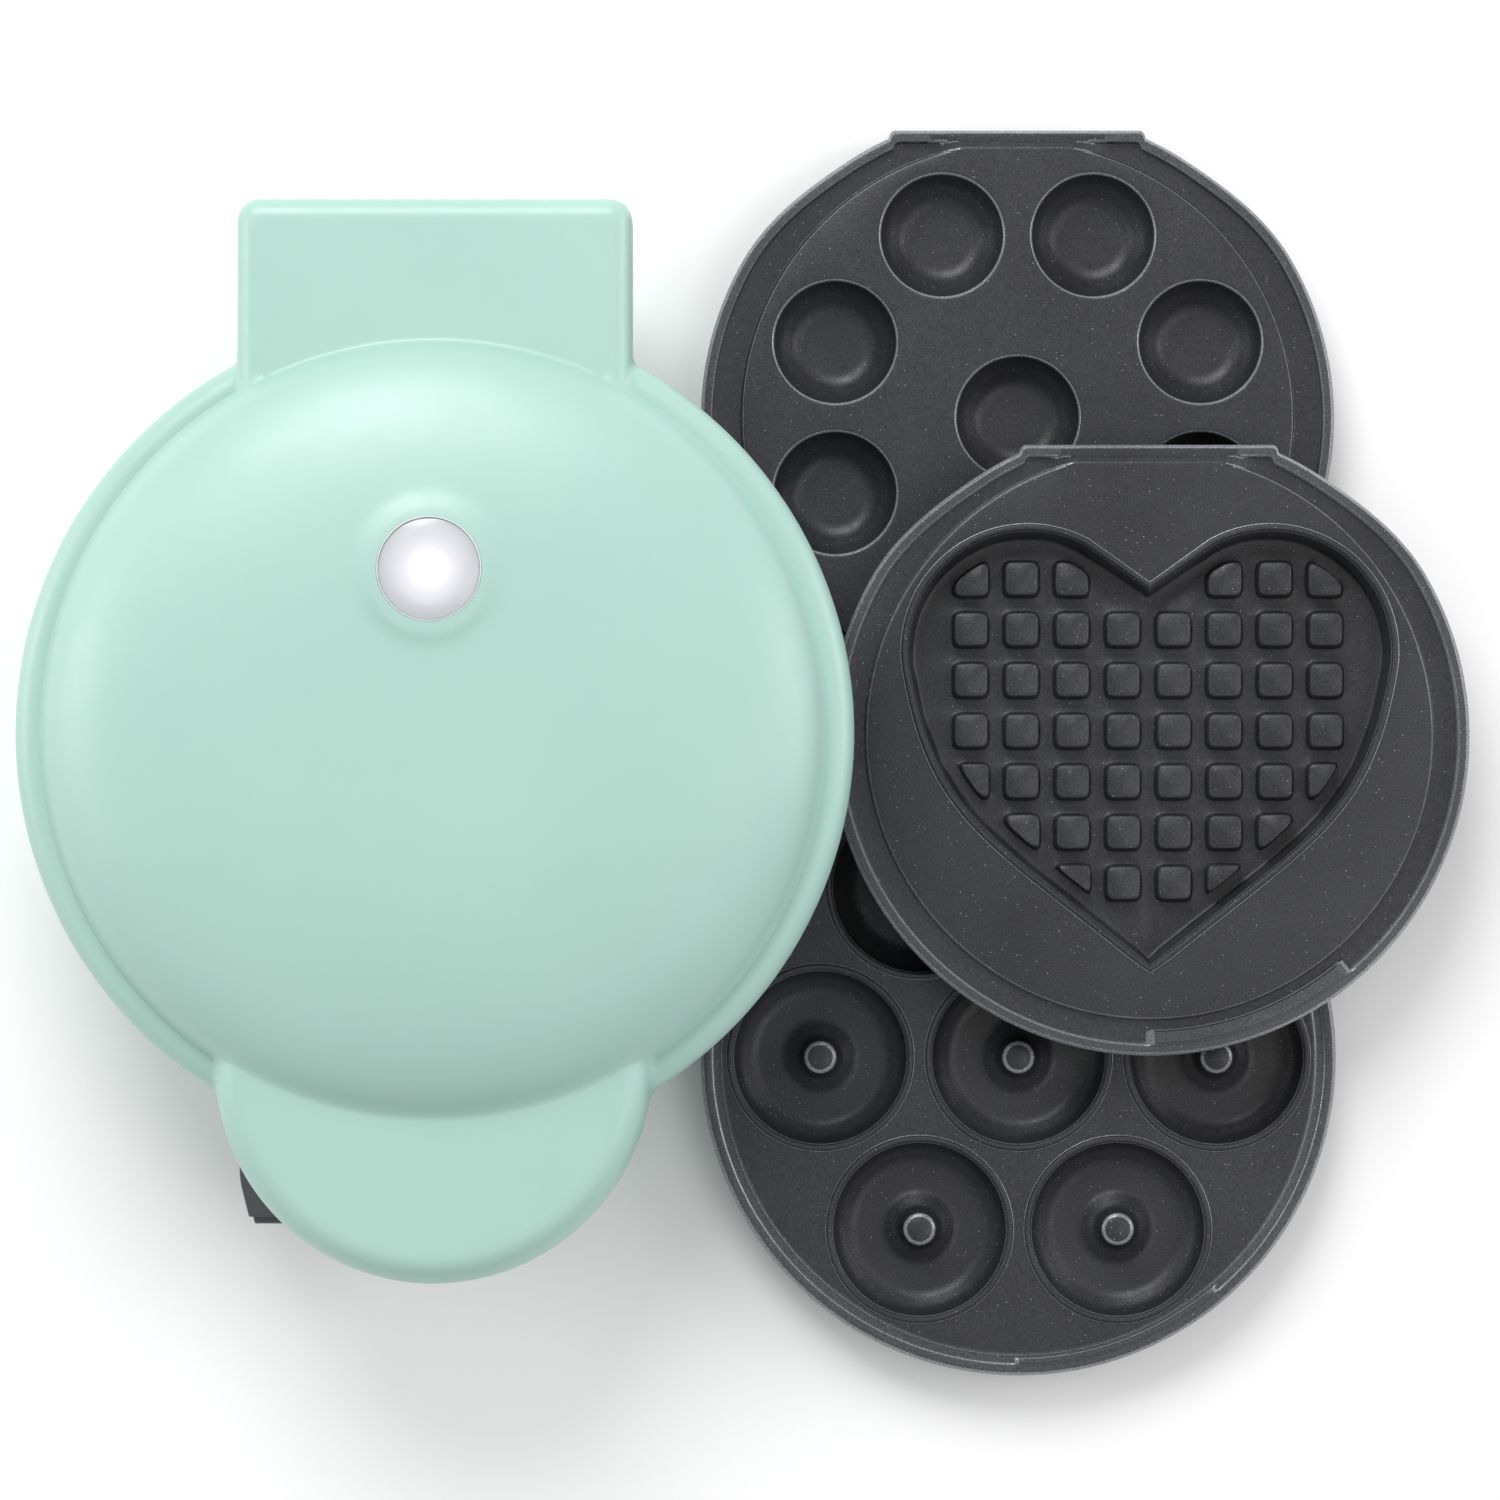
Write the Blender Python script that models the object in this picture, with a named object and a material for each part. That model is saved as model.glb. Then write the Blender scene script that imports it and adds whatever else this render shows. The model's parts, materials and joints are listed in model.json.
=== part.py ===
"""Compact three-in-one donut maker: hinged lid and base, a fitted pair of donut plates, three loose plates.

Metres, +Z up.  The origin is under the middle of the whole layout, on the table.
The machine stands at the left, with its hinge towards +Y and its handle towards -Y.
Heights are measured from the table; plan sizes are measured from the machine's own middle.
"""
import math

import bmesh
import bpy
from mathutils import Vector

MM = 0.001

# Driving dimensions, in millimetres
DISC_R = 105.0           # round body of the lid and base
LOBE_R = 54.5            # front handle, a round lobe
LOBE_Y = -83.0           # its centre
BLOCK_HALF = 49.4        # rear hinge block, half its width
BLOCK_Y = 133.5          # its rear face
BLOCK_DROP = 3.8         # its top lies this much lower than the handle's
LINER_REAR_Y = 118.0     # liners stop short of the hinge barrel
WALL = 2.5               # moulded shell thickness
GAP = 0.3                # clearance between touching pieces
PLATE_R = 81.8           # cooking plate
PLATE_H = 14.0           # its height
PLATE_FLAT_Y = 74.4      # its rear edge, cut straight
WELL_R = 83.0            # opening in the liners that holds a plate
LOWER_DECK_Z = 45.4      # cooking face of the lower plate
UPPER_DECK_Z = 46.0      # cooking face of the upper plate
RING_R = 51.0            # ring of cavities
HINGE_Y, HINGE_Z = 127.0, 46.0
BARREL_R, PIN_R = 3.5, 1.5
LAMP_Y, LAMP_R = 39.4, 12.85
LATCH_X, LATCH_Y = -20.0, -114.0        # pivot of the latch lever
CATCH_X, CATCH_Y = 2.0, -118.0          # stud that the lever's finger slides over
RELEASE_ANGLE = math.radians(-50.0)     # where both plate releases sit on the rim
FOOT_X, FOOT_Y, FOOT_R = 46.0, 42.0, 7.0
GLAND_Z = 15.5           # height of the mains lead's outlet
HEART_LOBE_X, HEART_LOBE_Y, HEART_LOBE_R = 31.0, 21.5, 30.5
WAFFLE_PITCH = 13.0      # between waffle posts
POST_TOP, POST_FOOT = 4.1, 4.9          # half widths of a waffle post

# Layout of the machine and the loose plates about the origin
MACHINE = (-78.9, 3.7)
CAKE_PLATE = (148.0, 82.5)
SPARE_PLATE = (148.0, -82.5)
HEART_PLATE = (181.0, 0.0)
HEART_LIFT = PLATE_H + GAP

MINT = (0.53, 0.75, 0.66)
DARK_PLASTIC = (0.075, 0.08, 0.09)
COATING = (0.05, 0.052, 0.06)
STEEL = (0.62, 0.63, 0.65)
ALUMINIUM = (0.75, 0.75, 0.76)


# ---------------------------------------------------------------- scene and materials

def clear_scene():
    for old in list(bpy.data.objects):
        bpy.data.objects.remove(old, do_unlink=True)


def empty_at(name, x, y, z=0.0):
    holder = bpy.data.objects.new(name, None)
    bpy.context.collection.objects.link(holder)
    holder.location = (x * MM, y * MM, z * MM)
    return holder


def material_for(name, colour, roughness, metallic):
    material = bpy.data.materials.new(name)
    material.use_nodes = True
    shader = material.node_tree.nodes["Principled BSDF"]
    shader.inputs["Base Color"].default_value = (*colour, 1.0)
    shader.inputs["Roughness"].default_value = roughness
    shader.inputs["Metallic"].default_value = metallic
    material.diffuse_color = (*colour, 1.0)
    return material


def make_object(name, verts, faces, finish, parent, origin=(0.0, 0.0, 0.0)):
    """Mesh object from points in millimetres; origin is its own origin in its parent's frame."""
    shift = Vector(origin)
    mesh = bpy.data.meshes.new(name)
    mesh.from_pydata([(Vector(v) - shift) * MM for v in verts], [], faces)
    bm = bmesh.new()
    bm.from_mesh(mesh)
    bmesh.ops.recalc_face_normals(bm, faces=bm.faces)
    bm.to_mesh(mesh)
    bm.free()
    mesh.shade_smooth()
    mesh.set_sharp_from_angle(angle=math.radians(32))
    obj = bpy.data.objects.new(name, mesh)
    bpy.context.collection.objects.link(obj)
    obj.parent = parent
    obj.location = shift * MM
    if finish is None:
        obj.hide_render = True
        obj.display_type = "WIRE"
    else:
        mesh.materials.append(material_for(name, *finish))
    return obj


def boolean(target, tool, operation):
    modifier = target.modifiers.new(tool.name, "BOOLEAN")
    modifier.operation = operation
    modifier.object = tool


# ---------------------------------------------------------------- shapes, as (verts, faces)

def loft(rings, closed_tube=False):
    """Skin between rings of equal length, capped with fans, or joined last to first."""
    verts = [p for ring in rings for p in ring]
    count = len(rings[0])
    faces = []
    pairs = list(zip(range(len(rings)), range(1, len(rings))))
    if closed_tube:
        pairs.append((len(rings) - 1, 0))
    for a, b in pairs:
        for i in range(count):
            j = (i + 1) % count
            faces.append((a * count + i, a * count + j, b * count + j, b * count + i))
    if not closed_tube:
        for ring in (0, len(rings) - 1):
            faces.append(tuple(ring * count + i for i in range(count)))
    return verts, faces


def turned(profile, segments, centre=(0.0, 0.0), closed_tube=False):
    """Solid of revolution about Z from (radius, z) points."""
    rings = []
    for radius, z in profile:
        ring = []
        for i in range(segments):
            angle = math.tau * i / segments
            ring.append((centre[0] + radius * math.cos(angle), centre[1] + radius * math.sin(angle), z))
        rings.append(ring)
    return loft(rings, closed_tube)


def rod_x(x0, x1, radius, y, z, segments=16):
    rings = []
    for x in (x0, x1):
        rings.append([(x, y + radius * math.cos(math.tau * i / segments),
                       z + radius * math.sin(math.tau * i / segments)) for i in range(segments)])
    return loft(rings)


def rod_y(profile, x, z, segments=16):
    """Round piece along Y from (radius, y) points."""
    rings = []
    for radius, y in profile:
        rings.append([(x + radius * math.cos(math.tau * i / segments), y,
                       z + radius * math.sin(math.tau * i / segments)) for i in range(segments)])
    return loft(rings)


def box(x0, x1, y0, y1, z0, z1):
    return loft([[(x0, y0, z), (x1, y0, z), (x1, y1, z), (x0, y1, z)] for z in (z0, z1)])


def prism(outline, z0, z1):
    return loft([[(x, y, z) for x, y in outline] for z in (z0, z1)])


def turned_box(angle, r0, r1, half_width, z0, z1):
    """Box that lies along a spoke at an angle from the machine's middle."""
    spoke = Vector((math.cos(angle), math.sin(angle)))
    side = Vector((-spoke.y, spoke.x))
    corners = [spoke * r0 - side * half_width, spoke * r1 - side * half_width,
               spoke * r1 + side * half_width, spoke * r0 + side * half_width]
    return prism([(c.x, c.y) for c in corners], z0, z1)


def body_radius(angle, inset, rear_y=BLOCK_Y):
    """Distance from the middle to the body's outline, moved inwards by inset."""
    ux, uy = math.cos(angle), math.sin(angle)
    best = DISC_R - inset
    lobe = LOBE_R - inset
    along = LOBE_Y * uy
    reach = along * along - LOBE_Y * LOBE_Y + lobe * lobe
    if uy < 0.0 and reach > 0.0:
        best = max(best, along + math.sqrt(reach))
    if uy > 0.0:
        half, rear = BLOCK_HALF - inset, rear_y - inset
        best = max(best, min(half / max(abs(ux), 1e-6), rear / uy))
    return best


def outline_angles():
    """Even steps, with extra steps at the block's corners and where block and lobe meet the disc."""
    angles = [math.tau * i / 44 for i in range(44)]
    for extra in (61.9, 62.8, 69.7, 70.8, 118.1, 117.2, 110.3, 109.2, 240.9, 299.1, 242.5, 297.5):
        angles.append(math.radians(extra))
    return sorted(angles)


ANGLES = outline_angles()


def wing_share(angle):
    """0 on the disc, 1 on the handle and the block, with a short blend between."""
    step = (body_radius(angle, 0.0) - DISC_R) / 5.0
    step = min(max(step, 0.0), 1.0)
    return step * step * (3.0 - 2.0 * step)


def ring_height(angle, z_disc, z_wing):
    """Height round a ring; the tops of both wings lie between 62 and 73, the block's lower."""
    if math.sin(angle) > 0.0 and 62.0 < z_wing < 73.0:
        z_wing -= BLOCK_DROP
    return z_disc + (z_wing - z_disc) * wing_share(angle)


def outline_ring(inset, z_disc, z_wing, rear_y=BLOCK_Y):
    ring = []
    for angle in ANGLES:
        radius = body_radius(angle, inset, rear_y)
        ring.append((radius * math.cos(angle), radius * math.sin(angle), ring_height(angle, z_disc, z_wing)))
    return ring


def round_ring(radius, z_disc, z_wing):
    return [(radius * math.cos(angle), radius * math.sin(angle), ring_height(angle, z_disc, z_wing))
            for angle in ANGLES]


# ---------------------------------------------------------------- shells and liners

def build_base_shell(machine):
    """Bowl with a shallow handle and hinge block; open at the top."""
    rings = [round_ring(30.0, 6.0, 6.0), round_ring(76.0, 6.0, 6.0), round_ring(83.0, 9.0, 9.0),
             round_ring(89.0, 16.5, 19.0), round_ring(95.0, 26.0, 30.2)]
    rings += [outline_ring(6.0, 30.0, 31.0), outline_ring(2.5, 36.0, 33.5), outline_ring(1.0, 43.5, 43.5)]
    rings += [outline_ring(1.0 + WALL, 43.5, 43.5), outline_ring(4.3, 36.5, 35.2),
              outline_ring(8.7, 31.5, 33.5)]
    rings += [round_ring(92.0, 27.2, 32.6), round_ring(86.4, 18.0, 21.0), round_ring(81.0, 11.0, 11.0),
              round_ring(75.0, 8.5, 8.5), round_ring(30.0, 8.5, 8.5)]
    shell = make_object("base_shell", *loft(rings), (MINT, 0.42, 0.0), machine)
    cuts = [
        ("cut_rear_recess", box(-60, 60, HINGE_Y - 7.5, 140, 37.5, 60)),
        ("cut_latch_pin", turned([(2.3, 28), (2.3, 42)], 12, (LATCH_X, LATCH_Y))),
        ("cut_catch", turned([(7.0, 28), (7.0, 42)], 14, (CATCH_X, CATCH_Y))),
        ("cut_cord_gland", rod_y([(4.5, 74), (4.5, 97)], 0.0, GLAND_Z, 14)),
    ]
    for name, shape in cuts:
        boolean(shell, make_object(name, *shape, None, machine), "DIFFERENCE")
    return shell


def build_lid_shell(machine):
    """Crowned dome over the disc, with a flat-topped handle and hinge block; open underneath."""
    rings = [round_ring(20.0, 86.8, 86.8), round_ring(50.0, 85.6, 85.6), round_ring(72.0, 83.0, 83.0),
             round_ring(84.0, 79.4, 79.4), round_ring(90.0, 75.4, 75.4), round_ring(94.0, 70.0, 71.2),
             round_ring(97.5, 64.8, 70.2)]
    rings += [outline_ring(5.0, 63.8, 70.0), outline_ring(1.5, 62.4, 68.0), outline_ring(0.0, 58.5, 63.5),
              outline_ring(0.0, 47.5, 47.5), outline_ring(WALL, 47.5, 47.5), outline_ring(WALL, 58.5, 63.0),
              outline_ring(5.5, 61.0, 67.2)]
    rings += [round_ring(94.5, 62.0, 67.4), round_ring(91.0, 68.0, 68.6), round_ring(87.0, 74.0, 74.0),
              round_ring(81.0, 77.8, 77.8), round_ring(70.0, 80.6, 80.6), round_ring(20.0, 84.2, 84.2)]
    shell = make_object("lid_shell", *loft(rings), (MINT, 0.42, 0.0), machine)
    for side in (-1, 1):
        x0, x1 = sorted((side * 40.0, side * 44.0))
        lug_shape = box(x0, x1, HINGE_Y - 4, HINGE_Y + 3.6, 42.5, 64.4)
        lug = make_object(f"add_lug_{side}", *lug_shape, None, machine)
        boolean(shell, lug, "UNION")
    bore = make_object("cut_lug_bores", *rod_x(-50, 50, PIN_R + GAP, HINGE_Y, HINGE_Z, 14), None, machine)
    boolean(shell, bore, "DIFFERENCE")
    lamp = make_object("cut_lamp", *turned([(LAMP_R + GAP, 74), (LAMP_R + GAP, 92)], 24, (0, LAMP_Y)), None,
                       machine)
    boolean(shell, lamp, "DIFFERENCE")
    return shell


def liner_rings(lip, seat, inner):
    """Flat ring that fits on a shell's rim: a thin lip out to the wall, and a body inside it."""
    return [outline_ring(4.8, inner, inner, LINER_REAR_Y), outline_ring(4.8, seat, seat, LINER_REAR_Y),
            outline_ring(1.2, seat, seat, LINER_REAR_Y), outline_ring(1.2, lip, lip, LINER_REAR_Y),
            round_ring(WELL_R, lip, lip), round_ring(WELL_R, inner, inner)]


def build_liners(machine):
    """Dark rings on both rims, with a slot for the catch and pockets for the plate releases."""
    dark = (DARK_PLASTIC, 0.5, 0.0)
    lower = make_object("base_liner", *loft(liner_rings(45.4, 43.8, 41.5), True), dark, machine)
    upper = make_object("lid_liner", *loft(liner_rings(46.0, 47.2, 49.9), True), dark, machine)
    catch = (CATCH_X, CATCH_Y)
    slot = make_object("cut_catch_slot", *turned([(7.0, 40), (7.0, 45.8)], 14, catch), None, machine)
    boolean(lower, slot, "DIFFERENCE")
    stem = make_object("cut_catch_stem", *turned([(2.1, 45.8), (2.1, 50.1)], 14, catch), None, machine)
    boolean(upper, stem, "DIFFERENCE")
    pocket_shape = turned_box(RELEASE_ANGLE, 79.0, 98.2, 6.5, 40, 52)
    pocket = make_object("cut_release_pockets", *pocket_shape, None, machine)
    boolean(lower, pocket, "DIFFERENCE")
    boolean(upper, pocket, "DIFFERENCE")
    return lower, upper


def build_pans(machine):
    """Pressed heat shields: a flange behind the liner, a wall round the plate and a floor."""
    for name, flange, floor, step in (("base_heat_shield", 41.2, 21.0, -1.0),
                                      ("lid_heat_shield", 50.2, 70.0, 1.0)):
        back = floor + step
        profile = [(20.0, floor), (WELL_R + 0.2, floor), (WELL_R + 0.2, flange), (92.0, flange),
                   (92.0, flange + step), (84.2, flange + step), (84.2, back), (20.0, back)]
        make_object(name, *turned(profile, 30, closed_tube=True), (ALUMINIUM, 0.35, 1.0), machine)


# ---------------------------------------------------------------- cooking plates

def plate_outline(radius, flat_y, segments=38):
    """Circle cut straight across its rear edge."""
    half = math.acos(flat_y / radius)
    start, sweep = math.pi / 2 + half, math.tau - 2 * half
    return [(radius * math.cos(start + sweep * i / (segments - 1)),
             radius * math.sin(start + sweep * i / (segments - 1))) for i in range(segments)]


def plate_rings(deck_z, direction):
    """Tray with a skirt: deck 3 thick, a shallow channel inside the rim, open on its back."""
    def ring(radius, flat, height):
        return [(x, y, deck_z + direction * height) for x, y in plate_outline(radius, flat)]
    back = -PLATE_H
    return [ring(72.5, 70.0, 0.0), ring(73.5, 70.9, -1.5), ring(78.0, 71.6, -1.5), ring(78.8, 72.2, 0.0),
            ring(81.0, 73.8, 0.0), ring(81.8, 74.4, -1.0), ring(80.4, 73.2, back), ring(78.2, 71.2, back),
            ring(78.2, 71.2, -4.5)]


def donut_centres():
    places = [(0.0, 0.0)]
    for i in range(6):
        angle = math.tau * i / 6
        places.append((RING_R * math.cos(angle), RING_R * math.sin(angle)))
    return places


def cup_centres():
    places = [(0.0, 0.0)]
    for i in range(8):
        angle = math.tau * (i + 0.5) / 8
        places.append((RING_R * math.cos(angle), RING_R * math.sin(angle)))
    return places


def build_plate(name, parent, deck_z, direction, centres, back_profile, cavity_profile, tube, origin):
    """Plate with a bulge behind each cavity; heights in the profiles run back from the deck."""
    plate = make_object(name, *loft(plate_rings(deck_z, direction)), (COATING, 0.55, 0.2), parent, origin)
    for index, centre in enumerate(centres):
        back = [(r, deck_z + direction * h) for r, h in back_profile]
        bulge = make_object(f"add_{name}_{index}", *turned(back, 12, centre), None, parent, origin)
        boolean(plate, bulge, "UNION")
    for index, centre in enumerate(centres):
        hollow = [(r, deck_z + direction * h) for r, h in cavity_profile]
        cavity = make_object(f"cut_{name}_{index}", *turned(hollow, 12, centre, tube), None, parent, origin)
        boolean(plate, cavity, "DIFFERENCE")
    return plate


DONUT_BACK = [(24.4, -3.0), (21.4, -12.0)]
DONUT_CAVITY = [(22.3, 1.0), (21.7, -6.0), (18.0, -9.5), (8.5, -9.5), (4.0, 1.0)]
CUP_BACK = [(18.2, -3.0), (14.6, -12.8)]
CUP_CAVITY = [(15.9, 1.0), (15.2, -6.0), (11.0, -10.6)]


def heart_flank(grow, steps=7):
    """Right flank, a bowed curve from the side of the lobe down to the point."""
    guides = [Vector((61.0 + grow, 16.2)), Vector((54.5 + grow, -21.0 - grow * 0.3)),
              Vector((40.2 + grow * 0.63, -25.6 - grow * 0.77)), Vector((0.0, -58.5 - grow * 1.35))]
    points = []
    for i in range(steps + 1):
        t = i / steps
        shares = ((1 - t) ** 3, 3 * t * (1 - t) ** 2, 3 * t * t * (1 - t), t ** 3)
        points.append(tuple(sum((g * share for g, share in zip(guides, shares)), Vector((0.0, 0.0)))))
    return points


def heart_outline(grow, steps=9):
    """Two round lobes and bowed flanks; grow moves the outline outwards."""
    lobe_r = HEART_LOBE_R + grow
    right = [(0.0, 37.0 + grow * 0.7)]
    for i in range(steps - 1):
        angle = math.radians(124.0 - 134.0 * i / (steps - 1))
        right.append((HEART_LOBE_X + lobe_r * math.cos(angle), HEART_LOBE_Y + lobe_r * math.sin(angle)))
    right += heart_flank(grow)
    left = [(-x, y) for x, y in reversed(right[1:-1])]
    return right + left


def build_heart_plate(parent):
    """Plate with a sunken heart full of tapered waffle posts."""
    holder = empty_at("heart_plate_holder", *HEART_PLATE, HEART_LIFT)
    holder.parent = parent
    deck = PLATE_H
    plate = make_object("heart_waffle_plate", *loft(plate_rings(deck, 1.0)), (COATING, 0.55, 0.2), holder)
    bulge = make_object("add_heart_back", *prism(heart_outline(2.5), deck - 11.5, deck - 2.0), None, holder)
    boolean(plate, bulge, "UNION")
    hollow = make_object("cut_heart", *prism(heart_outline(0.0), deck - 9.0, deck + 1.0), None, holder)
    boolean(plate, hollow, "DIFFERENCE")
    for row in range(-4, 4):
        for column in range(-5, 5):
            x, y = (column + 0.5) * WAFFLE_PITCH, row * WAFFLE_PITCH + 1.3
            if inside_heart(abs(x) + POST_FOOT, y):
                rings = [[(x - h, y - h, z), (x + h, y - h, z), (x + h, y + h, z), (x - h, y + h, z)]
                         for h, z in ((POST_FOOT, deck - 9.6), (POST_TOP, deck - 4.6))]
                post = make_object(f"add_post_{row}_{column}", *loft(rings), None, holder)
                boolean(plate, post, "UNION")
    return plate


def inside_heart(x, y):
    """True where a post's outer side, x to the right of the middle, is well inside the heart."""
    if y > HEART_LOBE_Y:
        reach = math.hypot(x - HEART_LOBE_X, y + POST_FOOT - HEART_LOBE_Y)
        return reach < HEART_LOBE_R - 0.7 and y < 42.0
    flank, lowest = heart_flank(0.0), y - POST_FOOT
    for (x0, y0), (x1, y1) in zip(flank, flank[1:]):
        if y1 <= lowest <= y0:
            return x < x0 + (x1 - x0) * (lowest - y0) / (y1 - y0) - 0.4
    return False


def build_plates(machine):
    build_plate("lower_donut_plate", machine, LOWER_DECK_Z, 1.0, donut_centres(), DONUT_BACK, DONUT_CAVITY,
                True, (0, 0, 0))
    build_plate("upper_donut_plate", machine, UPPER_DECK_Z, -1.0, donut_centres(), DONUT_BACK, DONUT_CAVITY,
                True, (0, 0, 0))
    spare = empty_at("spare_plate_holder", *SPARE_PLATE)
    spare.parent = machine
    build_plate("spare_donut_plate", spare, PLATE_H, 1.0, donut_centres(), DONUT_BACK, DONUT_CAVITY, True,
                (0, 0, 0))
    cake = empty_at("cake_plate_holder", *CAKE_PLATE)
    cake.parent = machine
    build_plate("cake_bite_plate", cake, PLATE_H, 1.0, cup_centres(), CUP_BACK, CUP_CAVITY, False, (0, 0, 0))
    build_heart_plate(machine)


# ---------------------------------------------------------------- hinge, latch and releases

def build_hinge(machine):
    """Bracket with a hinge barrel on the base; the lid's lugs turn on two pins at its ends."""
    steel = (STEEL, 0.3, 1.0)
    dark = (DARK_PLASTIC, 0.5, 0.0)
    make_object("rear_cover", *box(-43.0, 43.0, 119.9, 127.8, 35.8, 37.2), dark, machine)
    bracket = make_object("hinge_bracket", *box(-38, 38, 118.6, HINGE_Y - 1.5, 37.5, 44.0), dark, machine)
    barrel = make_object("add_barrel", *rod_x(-38, 38, BARREL_R, HINGE_Y, HINGE_Z), None, machine)
    boolean(bracket, barrel, "UNION")
    for side, name in ((-1, "left"), (1, "right")):
        bore = sorted((side * 34.0, side * 39.0))
        bore_shape = rod_x(*bore, PIN_R + GAP, HINGE_Y, HINGE_Z, 14)
        boolean(bracket, make_object(f"cut_bore_{name}", *bore_shape, None, machine), "DIFFERENCE")
        ends = sorted((side * 34.5, side * 45.5))
        make_object(f"hinge_pin_{name}", *rod_x(*ends, PIN_R, HINGE_Y, HINGE_Z, 14), steel, machine,
                    (side * 40.0, HINGE_Y, HINGE_Z))


def latch_outline():
    """Plan of the latch lever in its released place: thumb tab, hub and locking finger."""
    finger_angle = math.radians(21.4)
    along = Vector((math.cos(finger_angle), math.sin(finger_angle)))
    across = Vector((-along.y, along.x)) * 3.0
    pivot = Vector((LATCH_X, LATCH_Y))
    tip, root = pivot + along * 24.0, pivot + along * 6.0
    tab = [(-50.3, -107.4), (-49.9, -114.6), (-47.6, -124.2), (-39.2, -124.2), (-25.5, -122.4), (-16.5, -119.4)]
    finger = [tuple(root - across), tuple(tip - across), tuple(tip + across), tuple(root + across)]
    return tab + finger + [(-19.0, -107.6), (-30.0, -107.4)]


def build_latch(machine):
    """Lever on its pin under the handle, and the lid's stud that its finger locks over."""
    dark, steel = (DARK_PLASTIC, 0.45, 0.0), (STEEL, 0.3, 1.0)
    pivot = (LATCH_X, LATCH_Y)
    lever = make_object("latch_lever", *prism(latch_outline(), 25.2, 29.2), dark, machine, (*pivot, 0.0))
    bore = make_object("cut_lever_bore", *turned([(2.3, 20), (2.3, 35)], 14, pivot), None, machine)
    boolean(lever, bore, "DIFFERENCE")
    pin = [(4.2, 23.4), (4.2, 24.9), (2.0, 24.9), (2.0, 40.0)]
    make_object("latch_pin", *turned(pin, 14, pivot), steel, machine)
    catch = [("lid_catch_stem", [(1.8, 24.7), (1.8, 53.6)]),
             ("lid_catch_head", [(3.2, 20.8), (4.5, 21.8), (4.5, 24.5)])]
    for name, profile in catch:
        make_object(name, *turned(profile, 14, (CATCH_X, CATCH_Y)), steel, machine)
    nut = [(2.1, 50.2), (5.0, 50.2), (5.0, 53.0), (2.1, 53.0)]
    make_object("lid_catch_nut", *turned(nut, 14, (CATCH_X, CATCH_Y), True), steel, machine)


def build_releases(machine):
    """Sliding buttons at the front right of both plates."""
    for name, z0, z1 in (("lower_release", 41.6, 45.2), ("upper_release", 46.3, 49.7)):
        slider = make_object(name, *turned_box(RELEASE_ANGLE, 82.3, 94.4, 6.0, z0, z1),
                             (DARK_PLASTIC, 0.45, 0.0), machine)
        bevel = slider.modifiers.new("soft_edges", "BEVEL")
        bevel.width = 0.4 * MM
        bevel.segments = 1


# ---------------------------------------------------------------- electrics, lamp, feet and screws

def torus(major, minor, z, segments=22, sides=6):
    profile = [(major + minor * math.cos(math.tau * i / sides), z + minor * math.sin(math.tau * i / sides))
               for i in range(sides)]
    return turned(profile, segments, closed_tube=True)


def build_electrics(machine):
    """Ring elements behind both plates; thermostat, fuse and terminals under the lower shield."""
    steel, can = (STEEL, 0.4, 1.0), (ALUMINIUM, 0.4, 0.8)
    make_object("lower_heating_element", *torus(60.0, 3.0, 27.4), steel, machine)
    make_object("upper_heating_element", *torus(60.0, 3.0, 64.0), steel, machine)
    make_object("thermostat", *turned([(9.0, 12.0), (9.0, 19.7)], 16, (38.0, 8.0)), can, machine)
    make_object("thermal_fuse", *rod_y([(2.2, -8), (2.2, 8)], -40.0, 16.0, 10), can, machine)
    make_object("terminal_block", *box(-10, 10, 62, 72, 10.6, 19.5), ((0.8, 0.8, 0.78), 0.5, 0.0), machine)


def build_lamp(machine):
    """Domed lens let into the lid, with a holder and a small lamp beneath it."""
    centre = (0.0, LAMP_Y)
    lens = [(9.0, 82.2), (12.6, 82.2), (12.6, 86.6), (11.6, 87.3), (7.0, 87.9)]
    make_object("lamp_lens", *turned(lens, 24, centre), ((0.93, 0.93, 0.95), 0.2, 0.0), machine)
    make_object("lamp_holder", *turned([(14.6, 78.4), (14.6, 79.6)], 20, centre),
                ((0.85, 0.85, 0.83), 0.5, 0.0), machine)
    make_object("indicator_lamp", *turned([(2.5, 79.9), (2.5, 81.2), (1.2, 82.0)], 12, centre),
                ((0.95, 0.95, 0.9), 0.2, 0.0), machine)


def build_feet_and_screws(machine):
    corners = [("front_left", -1, -1), ("front_right", 1, -1), ("rear_left", -1, 1), ("rear_right", 1, 1)]
    foot = [(FOOT_R - 0.8, 0.0), (FOOT_R, 0.8), (FOOT_R, 5.7)]
    for name, sx, sy in corners:
        make_object(f"foot_{name}", *turned(foot, 16, (sx * FOOT_X, sy * FOOT_Y)),
                    ((0.03, 0.03, 0.03), 0.8, 0.0), machine, (sx * FOOT_X, sy * FOOT_Y, 0.0))
    screws = [(f"base_screw_{name}", sx * 22.0, sy * 62.0, 4.1, 5.7) for name, sx, sy in corners]
    screws += [("block_screw_left", -34.0, 110.0, 28.4, 29.8), ("block_screw_right", 34.0, 110.0, 28.4, 29.8)]
    for name, x, y, z0, z1 in screws:
        make_object(name, *turned([(3.0, z0), (3.0, z1)], 12, (x, y)), (STEEL, 0.3, 1.0), machine, (x, y, z0))


def build_cord_gland(machine):
    """Moulded outlet for the mains lead, low in the rear of the base."""
    profile = [(4.2, 80.0), (4.2, 91.3), (5.6, 91.3), (5.6, 93.2), (4.0, 94.0), (3.4, 101.0)]
    make_object("cord_gland", *rod_y(profile, 0.0, GLAND_Z, 14), (DARK_PLASTIC, 0.6, 0.0), machine)


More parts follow.
